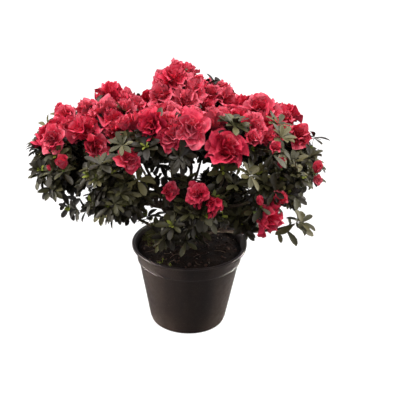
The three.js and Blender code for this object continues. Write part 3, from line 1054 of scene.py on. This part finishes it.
# %% Pot outline
lip = TOP - LIP_DEPTH
shoulder = TOP - COLLAR_HEIGHT
pot_outline = rounded([
    (0, FLOOR, 0),
    (FOOT * 0.84, FLOOR, 0.5 * MM),
    (FOOT * 0.86, 0, 0.8 * MM),
    (FOOT - 1.2 * MM, 0, 1.0 * MM),
    (FOOT, 1.6 * MM, 1.2 * MM),
    (FOOT + 0.2 * MM, 5.0 * MM, 0.4 * MM),
    (FOOT + 1.3 * MM, 5.6 * MM, 0.5 * MM),
    (BODY_TOP, shoulder - 1.0 * MM, 0.5 * MM),
    (COLLAR_FOOT + 0.2 * MM, shoulder - 0.7 * MM, 0.4 * MM),
    (COLLAR_FOOT + 0.3 * MM, shoulder + 0.5 * MM, 0.4 * MM),
    (COLLAR_FOOT, shoulder + 1.0 * MM, 0.3 * MM),
    (COLLAR_TOP, lip, 1.2 * MM),
    (RIM - 0.3 * MM, lip + 0.2 * MM, 0.9 * MM),
    (RIM, TOP - 0.2 * MM, 1.2 * MM),
    (RIM - 3.4 * MM, TOP, 1.2 * MM),
    (COLLAR_TOP - WALL, lip - 1.5 * MM, 1.0 * MM),
    (BODY_TOP - WALL, shoulder - 2.0 * MM, 0.8 * MM),
    (FOOT - WALL, FLOOR + WALL + 1 * MM, 1.0 * MM),
    (FOOT - WALL - 2 * MM, FLOOR + WALL, 0.5 * MM),
    (0, FLOOR + WALL, 0),
])
print("pot outline points:", len(pot_outline))

# %% Holes and arches
HOLES = 8
HOLE_RADIUS = 4 * MM
ARCHES = 4
ARCH_TURN = math.radians(-58)
ARCH_RADIUS = 9 * MM
ARCH_RISE = 0.28  # how high an arch is for its half width
CUT_DEPTH = {"hole": 12 * MM, "arch": 9 * MM}


def cylinder(made, radius, depth, stand, place, stretch=(1, 1, 1)):
    """Adds a round cutter to a mesh."""
    matrix = np.eye(4)
    matrix[:3, :3] = stand * np.array(stretch)[None, :]
    matrix[:3, 3] = place
    bmesh.ops.create_cone(
        made, cap_ends=True, segments=32, radius1=radius, radius2=radius, depth=depth, matrix=Matrix(matrix)
    )


# %% The cut pot
cutter = bmesh.new()
for i in range(HOLES):
    out = level_way(2 * math.pi * (i + 0.5) / HOLES)
    cylinder(cutter, HOLE_RADIUS, CUT_DEPTH["hole"], np.eye(3), out * FOOT * 0.67 + UP * FLOOR)
for i in range(ARCHES):
    out = level_way(ARCH_TURN + 2 * math.pi * i / ARCHES)
    stand = np.stack([np.cross(out, UP), UP, out], axis=1)
    cylinder(cutter, ARCH_RADIUS, CUT_DEPTH["arch"], stand, out * (FOOT - 1 * MM), (1, ARCH_RISE, 1))
cutter_mesh = bpy.data.meshes.new("cutter")
cutter.to_mesh(cutter_mesh)
cutter_piece = bpy.data.objects.new("cutter", cutter_mesh)
SCENE.collection.objects.link(cutter_piece)
shell = bpy.data.objects.new("shell", turned("shell", pot_outline))
cut = shell.modifiers.new("cut", "BOOLEAN")
cut.object = cutter_piece
cut.solver = "EXACT"
pot_mesh = evaluated(shell)
bpy.data.objects.remove(cutter_piece)
pot_mesh.shade_smooth()
pot_mesh.set_sharp_from_angle(angle=math.radians(40))
print("pot faces:", len(pot_mesh.polygons))

# %% Moulded plastic
plastic, start, end = new_group(
    "moulded plastic",
    [("Dark", "Color", colour(24, 16, 14)), ("Dust", "Color", colour(58, 45, 35)), ("Film", "Float", 0.35)],
    [("Color", "Color"), ("Roughness", "Float"), ("Normal", "Vector")],
)
place = node(plastic, "TexCoord").outputs["Object"]
height = node(plastic, "SeparateXYZ", Vector=place).outputs[2]
streaks = patches(plastic, place, 16 * MM, 4.0, 0.4, 0.75, (1, 1, 0.25))
speck = patches(plastic, place, 1.6 * MM, 2.0, 0.55, 0.75)
low = node(plastic, "MapRange", Value=height, From_Min=28 * MM, From_Max=0.0).outputs[0]
dust = maths(plastic, "ADD", streaks, low)
dust = maths(plastic, "MULTIPLY", dust, start.outputs["Film"])
dusty = blend_colour(plastic, dust, start.outputs["Dark"], start.outputs["Dust"])
speck_amount = maths(plastic, "MULTIPLY", speck, 0.25)
plastic.links.new(blend_colour(plastic, speck_amount, dusty, colour(84, 76, 68)), end.inputs["Color"])
cloud = patches(plastic, place, 5 * MM, 3.0, 0.3, 0.7)
rough = node(plastic, "MapRange", Value=cloud, To_Min=0.34, To_Max=0.46).outputs[0]
rough = maths(plastic, "MULTIPLY_ADD", dust, 0.3, rough)
outward = node(plastic, "VectorMath", {"operation": "NORMALIZE"}, _0=place).outputs[0]
normal = node(plastic, "NewGeometry").outputs["Normal"]
facing_out = node(plastic, "VectorMath", {"operation": "DOT_PRODUCT"}, _0=outward, _1=normal).outputs["Value"]
inside = node(plastic, "MapRange", Value=facing_out, From_Min=0.05, From_Max=-0.15, To_Max=0.6).outputs[0]
rough = maths(plastic, "ADD", inside, rough, clamp=True)
plastic.links.new(rough, end.inputs["Roughness"])
peel = node(plastic, "TexNoise", Vector=place, Scale=1 / (1.1 * MM), Detail=2.0).outputs[0]
bump = node(plastic, "Bump", Height=peel, Strength=0.06, Distance=0.2 * MM).outputs[0]
wavy = node(plastic, "TexNoise", Vector=place, Scale=1 / (22 * MM), Detail=1.0).outputs[0]
bump = node(plastic, "Bump", Height=wavy, Strength=0.2, Distance=1.2 * MM, Normal=bump).outputs[0]
plastic.links.new(bump, end.inputs["Normal"])

pot_mesh.materials.clear()
pot_mesh.materials.append(finish("pot_plastic", plastic, {"Film": 0.3}, Specular_IOR_Level=0.4))
keep(bpy.data.objects.new("nursery_pot", pot_mesh), ["pot"])

# %% [markdown]
# ## Potting soil
# The top of the root ball is dark peat, lumpy with crumbs of bark. It is a fine grid over the plain
# dome, raised by noise of three sizes, and loose crumbs are strewn on it. Pale grit, moss at the back
# and a few seedlings are what water and time leave in any pot.

# %% Height of the soil
ball_low, ball_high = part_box("root_ball")
SOIL_TOP = TOP - 7 * MM
SOIL_RIM = ball_high[0] * 0.985
DOME = 3 * MM
RIM_DIP = 1.5 * MM
# How high and how wide the lumps of each size are, and where in the noise they are read.
LUMPS = ((1.6 * MM, 17 * MM, 0.3), (1.1 * MM, 6 * MM, 4.1), (0.7 * MM, 2.6 * MM, 9.7))


def soil_height(x, y):
    """Height of the soil at a place: a low dome, lower at the rim, with lumps of three sizes."""
    out = math.hypot(x, y) / SOIL_RIM
    dome = DOME * ease(1 - out, 0, 1) - RIM_DIP * ease(out, 0.8, 1)
    lumps = sum(size * noise_vector(Vector((x / wide, y / wide, layer))).x for size, wide, layer in LUMPS)
    return SOIL_TOP + dome + lumps + 0.6 * MM


# %% Soil body
soil = bmesh.new()
RINGS, SPOKES = 40, 150
spokes = [2 * math.pi * k / SPOKES for k in range(SPOKES)]
grid = []
for i in range(1, RINGS + 1):
    r = SOIL_RIM * i / RINGS
    around = [(r * math.cos(a), r * math.sin(a)) for a in spokes]
    grid.append([soil.verts.new((x, y, soil_height(x, y))) for x, y in around])
for r, z in ((SOIL_RIM * 0.995, SOIL_TOP - 6 * MM), (FOOT - WALL - 0.6 * MM, ball_low[2] + 0.5 * MM)):
    grid.append([soil.verts.new((r * math.cos(a), r * math.sin(a), z)) for a in spokes])
middle = soil.verts.new((0, 0, soil_height(0, 0)))
for k in range(SPOKES):
    n = (k + 1) % SPOKES
    soil.faces.new((middle, grid[0][k], grid[0][n]))
    for low, high in zip(grid, grid[1:]):
        soil.faces.new((low[n], low[k], high[k], high[n]))
soil.faces.new(grid[-1])
bmesh.ops.recalc_face_normals(soil, faces=soil.faces)
soil_mesh = bpy.data.meshes.new("potting_soil")
soil.to_mesh(soil_mesh)
soil_mesh.shade_smooth()
print("soil faces:", len(soil_mesh.polygons))

# %% Peat finish
peat, start, end = new_group(
    "peat",
    [("Wet", "Color", colour(24, 18, 15)), ("Dry", "Color", colour(62, 48, 38))],
    [("Color", "Color"), ("Roughness", "Float"), ("Normal", "Vector")],
)
place = node(peat, "TexCoord").outputs["Object"]
crumb = node(peat, "TexVoronoi", Vector=place, Scale=1 / (2.2 * MM))
fine = patches(peat, place, 0.8 * MM, 4.0, 0.3, 0.7)
damp = patches(peat, place, 14 * MM, 3.0, 0.4, 0.65)
earth = blend_colour(peat, damp, start.outputs["Wet"], start.outputs["Dry"])
peat.links.new(blend_colour(peat, fine, colour(20, 15, 12), earth), end.inputs["Color"])
rough = node(peat, "MapRange", Value=damp, To_Min=0.75, To_Max=0.98).outputs[0]
peat.links.new(rough, end.inputs["Roughness"])
height = maths(peat, "SUBTRACT", fine, crumb.outputs["Distance"])
bump = node(peat, "Bump", Height=height, Strength=0.8, Distance=0.6 * MM).outputs[0]
peat.links.new(bump, end.inputs["Normal"])
peat_finish = finish("peat", peat, {}, Specular_IOR_Level=0.2)
soil_mesh.materials.append(peat_finish)
keep(bpy.data.objects.new("potting_soil", soil_mesh), ["root_ball"])

# %% Crumbs and grit
rng = np.random.default_rng(23)
CRUMB_TINTS = {"peat": 0, "chip": 1, "grit": 2, "moss": 3, "seedling": 4, "litter": 5}
ball = bmesh.new()
bmesh.ops.create_icosphere(ball, subdivisions=1, radius=1)
BALL_POINTS = np.array([v.co for v in ball.verts])
BALL_FACES = np.array([[v.index for v in f.verts] for f in ball.faces])
litter = Heap()


def strewn():
    """A place on the soil."""
    turn, r = rng.uniform(0, 2 * math.pi), SOIL_RIM * 0.98 * math.sqrt(rng.uniform(0.01, 1))
    x, y = r * math.cos(turn), r * math.sin(turn)
    return np.array([x, y, soil_height(x, y)])


def crumb_at(place, size, tint, flat):
    """A lump of soil, bark or grit."""
    dents = np.array([noise_vector(Vector(p * 1.7 + place * 900)).x for p in BALL_POINTS])
    lump = 1 + 0.35 * dents[:, None]
    stand = facing(rng.normal(0, 1, 3), rng.uniform(0, 6))
    shape = BALL_POINTS * lump * [1, rng.uniform(0.5, 0.9), flat * rng.uniform(0.5, 0.8)] * size
    litter.add(place + shape @ stand.T, BALL_FACES, CRUMB_TINTS[tint])


# Kind, how many, least and greatest size and height over the soil in millimetres, and how thick a
# crumb is for its width.
CRUMBS = [
    ("peat", 420, 0.7, 2.2, 0.0, 1.0),
    ("chip", 110, 1.2, 3.2, 0.5, 0.35),
    ("grit", 26, 0.5, 1.1, 0.8, 1.0),
]
for tint, count, least, most, height, flat in CRUMBS:
    for _ in range(count):
        crumb_at(strewn() + UP * height * MM, rng.uniform(least, most) * MM, tint, flat)
print("crumbs:", sum(row[1] for row in CRUMBS))


# %% Moss
def tuft(place, height, blades, spread, tint):
    """A tuft of tiny pointed blades."""
    for _ in range(blades):
        way = unit(UP + rng.normal(0, 0.5, 3))
        foot = place + np.append(rng.normal(0, spread, 2), 0)
        side = unit(np.cross(way, rng.normal(0, 1, 3))) * height * 0.12
        tip = foot + way * height * rng.uniform(0.6, 1.2)
        half_way = foot + way * height * 0.5
        points = np.array([foot - side, foot + side, half_way + side * 1.2, tip, half_way - side * 1.2])
        litter.add(points, np.array([[0, 1, 2, 4]]), CRUMB_TINTS[tint])
        litter.extend(np.array([[4, 2, 3]]) + litter.count - 5, CRUMB_TINTS[tint])


MOSS = (-0.046, 0.030)
MOSS_TUFTS = 70
MOSS_SPREAD = (9 * MM, 13 * MM)
for _ in range(MOSS_TUFTS):
    x, y = np.array(MOSS) + rng.normal(0, 1, 2) * MOSS_SPREAD
    if math.hypot(x, y) < SOIL_RIM * 0.97:
        tuft(np.array([x, y, soil_height(x, y)]), rng.uniform(2.5, 5) * MM, 22, 1.6 * MM, "moss")
print("moss tufts:", MOSS_TUFTS)


# %% Seedlings and dry stems
def seedling(x, y, height):
    """A thread of a stem with two to four small round leaves."""
    foot = np.array([x, y, soil_height(x, y) - 1 * MM])
    path = bent(foot, UP, foot + UP * height + rng.normal(0, 0.12 * height, 3) * [1, 1, 0], 5)
    tube(litter, path, np.full(5, 0.3 * MM), 4, CRUMB_TINTS["seedling"])
    for i in range(rng.integers(2, 5)):
        out = facing(UP, 1.6 * i + rng.normal(0, 0.3))[:, 0]
        shape = LEAVES[i] * [1, 1.3, 1] * rng.uniform(2, 3.6) * MM
        place_leaf(litter, shape, path[-1], out + 0.4 * UP, UP, CRUMB_TINTS["seedling"])


# Where the seedlings stand and how tall they are, in millimetres.
SEEDLINGS = ((-34, -46, 3), (-31, -43, 5), (-22, -52, 3), (-50, 12, 6), (-44, 24, 7), (18, 46, 6))
for x, y, height in SEEDLINGS:
    seedling(x * MM, y * MM, height * MM)
DRY_STEMS = 26
for _ in range(DRY_STEMS):
    path_start = strewn() + UP * 0.6 * MM
    reach = level_way(rng.uniform(0, 2 * math.pi)) * rng.uniform(6, 22) * MM
    stick = bent(path_start, unit(reach + rng.normal(0, 6 * MM, 3)), path_start + reach)
    if np.linalg.norm(stick[-1][:2]) < SOIL_RIM:
        stick[:, 2] += 1.2 * MM
        tube(litter, stick, np.linspace(0.5, 0.25, len(stick)) * MM, 5, CRUMB_TINTS["litter"])
print("seedlings:", len(SEEDLINGS), "dry stems tried:", DRY_STEMS)

# %% Loose pieces on the soil
soil_bits = [
    finish("crumb_peat", peat, {}, Specular_IOR_Level=0.2),
    finish("bark_chip", bark, {"Old": colour(78, 54, 40), "Green": colour(58, 40, 31)}),
    finish("grit", grain, {"Size": 0.5, "Smooth": 0.6, "Rough": 0.9}, Base_Color=colour(150, 140, 124)),
    finish("moss", grain, {"Size": 0.5, "Rough": 0.9}, Base_Color=colour(88, 90, 40)),
    finish("seedling", grain, {"Size": 0.5}, Base_Color=colour(134, 150, 50)),
    finish("dry_stem", grain, {"Size": 0.5, "Depth": 0.5, "Rough": 0.9}, Base_Color=colour(92, 74, 57)),
]
litter.mesh("soil_litter", soil_bits, "soil")

# %% [markdown]
# ## Studio
# A white floor runs into a white background. The light is broad and soft: a sky that is brightest
# overhead, with large lights above and on both sides, so the crown glows along its top and its
# underside falls dark. A weak one in front lifts the pot out of the dark, and two narrow beams low
# down give it a light edge on each side. The camera sees a white floor and a white background. As
# lights the floor is dark and the sky is less than half as strong low down as overhead, or together
# they would fill the shade under the crown.

# %% Floor
WHITE = (1, 1, 1, 1)
FLOOR_EDGE = 6.0  # distance from the middle
FLOOR_GREY = (0.12, 0.12, 0.12, 1)
FLOOR_GLOW = 0.93

floor_mesh = bpy.data.meshes.new("studio_floor")
corners = [(x * FLOOR_EDGE, y * FLOOR_EDGE, 0) for x, y in ((-1, -1), (1, -1), (1, 1), (-1, 1))]
floor_mesh.from_pydata(corners, [], [(0, 1, 2, 3)])
floor_finish = finish("studio_floor", Base_Color=FLOOR_GREY, Roughness=0.8, Emission_Color=WHITE)
floor_tree = floor_finish.node_tree
shown = node(floor_tree, "LightPath").outputs["Is Camera Ray"]
lift = maths(floor_tree, "MULTIPLY", shown, FLOOR_GLOW)
floor_tree.links.new(lift, floor_tree.nodes["Principled BSDF"].inputs["Emission Strength"])
floor_mesh.materials.append(floor_finish)
studio_floor = bpy.data.objects.new("studio_floor", floor_mesh)
SCENE.collection.objects.link(studio_floor)
print("floor width:", 2 * FLOOR_EDGE)

# %% Sky
SKY_TINT = (1.0, 0.93, 1.0, 1)
SKY_LOW, SKY_HIGH = 0.5, 1.15
world = bpy.data.worlds.new("studio")
world.use_nodes = True
tree = world.node_tree
shade = tree.nodes["Background"]
shade.inputs["Color"].default_value = SKY_TINT
direction = node(tree, "TexCoord").outputs["Generated"]
height = node(tree, "SeparateXYZ", Vector=direction).outputs[2]
glow = node(tree, "MapRange", Value=height, To_Min=SKY_LOW, To_Max=SKY_HIGH).outputs[0]
tree.links.new(glow, shade.inputs["Strength"])
backdrop = node(tree, "Background", Color=WHITE)
seen = node(tree, "LightPath").outputs["Is Camera Ray"]
both = node(tree, "MixShader", _0=seen, _1=shade.outputs[0], _2=backdrop.outputs[0])
tree.links.new(both.outputs[0], tree.nodes["World Output"].inputs["Surface"])
SCENE.world = world
print("sky strength:", SKY_LOW, "to", SKY_HIGH)


# %% Lights
def softbox(name, place, aim, size, power, tint=(1.0, 0.95, 0.88), spread=180):
    """A square area light, size metres wide, that looks at a point with its beam spread in degrees."""
    lamp = bpy.data.lights.new(name, "AREA")
    lamp.size = size
    lamp.energy = power
    lamp.color = tint
    lamp.spread = math.radians(spread)
    holder = bpy.data.objects.new(name, lamp)
    holder.location = place
    holder.rotation_euler = (Vector(aim) - Vector(place)).to_track_quat("-Z", "Y").to_euler()
    SCENE.collection.objects.link(holder)


PLANT_MIDDLE = (0, 0, 0.2)
POT_MIDDLE = (0, 0, 0.06)
softbox("left", (-1.35, -0.05, 0.95), PLANT_MIDDLE, 0.7, 16)
softbox("right", (1.3, 0.25, 0.9), PLANT_MIDDLE, 0.7, 15)
softbox("above", (-0.1, 0.2, 1.9), PLANT_MIDDLE, 1.3, 21, (1.0, 0.95, 0.93))
softbox("front", (-0.3, -1.5, 1.6), PLANT_MIDDLE, 0.9, 3.6)
softbox("low_left", (-1.2, -0.05, 0.08), POT_MIDDLE, 0.15, 0.52, spread=16)
softbox("low_right", (1.1, 0.4, 0.08), POT_MIDDLE, 0.15, 0.47, spread=16)
print("lights:", len(bpy.data.lights))

# %% [markdown]
# ## Camera
# The camera looks down at about 26 degrees from 1.3 m away and leans a degree and a half to one side,
# as a hand-held one does.

# %% Camera
AIM = np.array([0.0115, 0.0, 0.1606])
DISTANCE = 1.3
LOOK_DOWN = math.radians(25.6)
ROLL = math.radians(1.56)
LENS = 97.76

camera = bpy.data.objects.new("camera", bpy.data.cameras.new("camera"))
camera.data.sensor_width = 36
camera.data.lens = LENS
right = np.array([1.0, 0.0, 0.0])
back = np.array([0.0, -math.cos(LOOK_DOWN), math.sin(LOOK_DOWN)])
up = np.cross(back, right)
stand = np.eye(4)
stand[:3, 0] = math.cos(ROLL) * right + math.sin(ROLL) * up
stand[:3, 1] = math.cos(ROLL) * up - math.sin(ROLL) * right
stand[:3, 2] = back
stand[:3, 3] = AIM + back * DISTANCE
camera.matrix_world = Matrix(stand)
SCENE.collection.objects.link(camera)
SCENE.camera = camera
SCENE.view_settings.view_transform = "Standard"
print("camera at:", (AIM + back * DISTANCE).round(3).tolist())
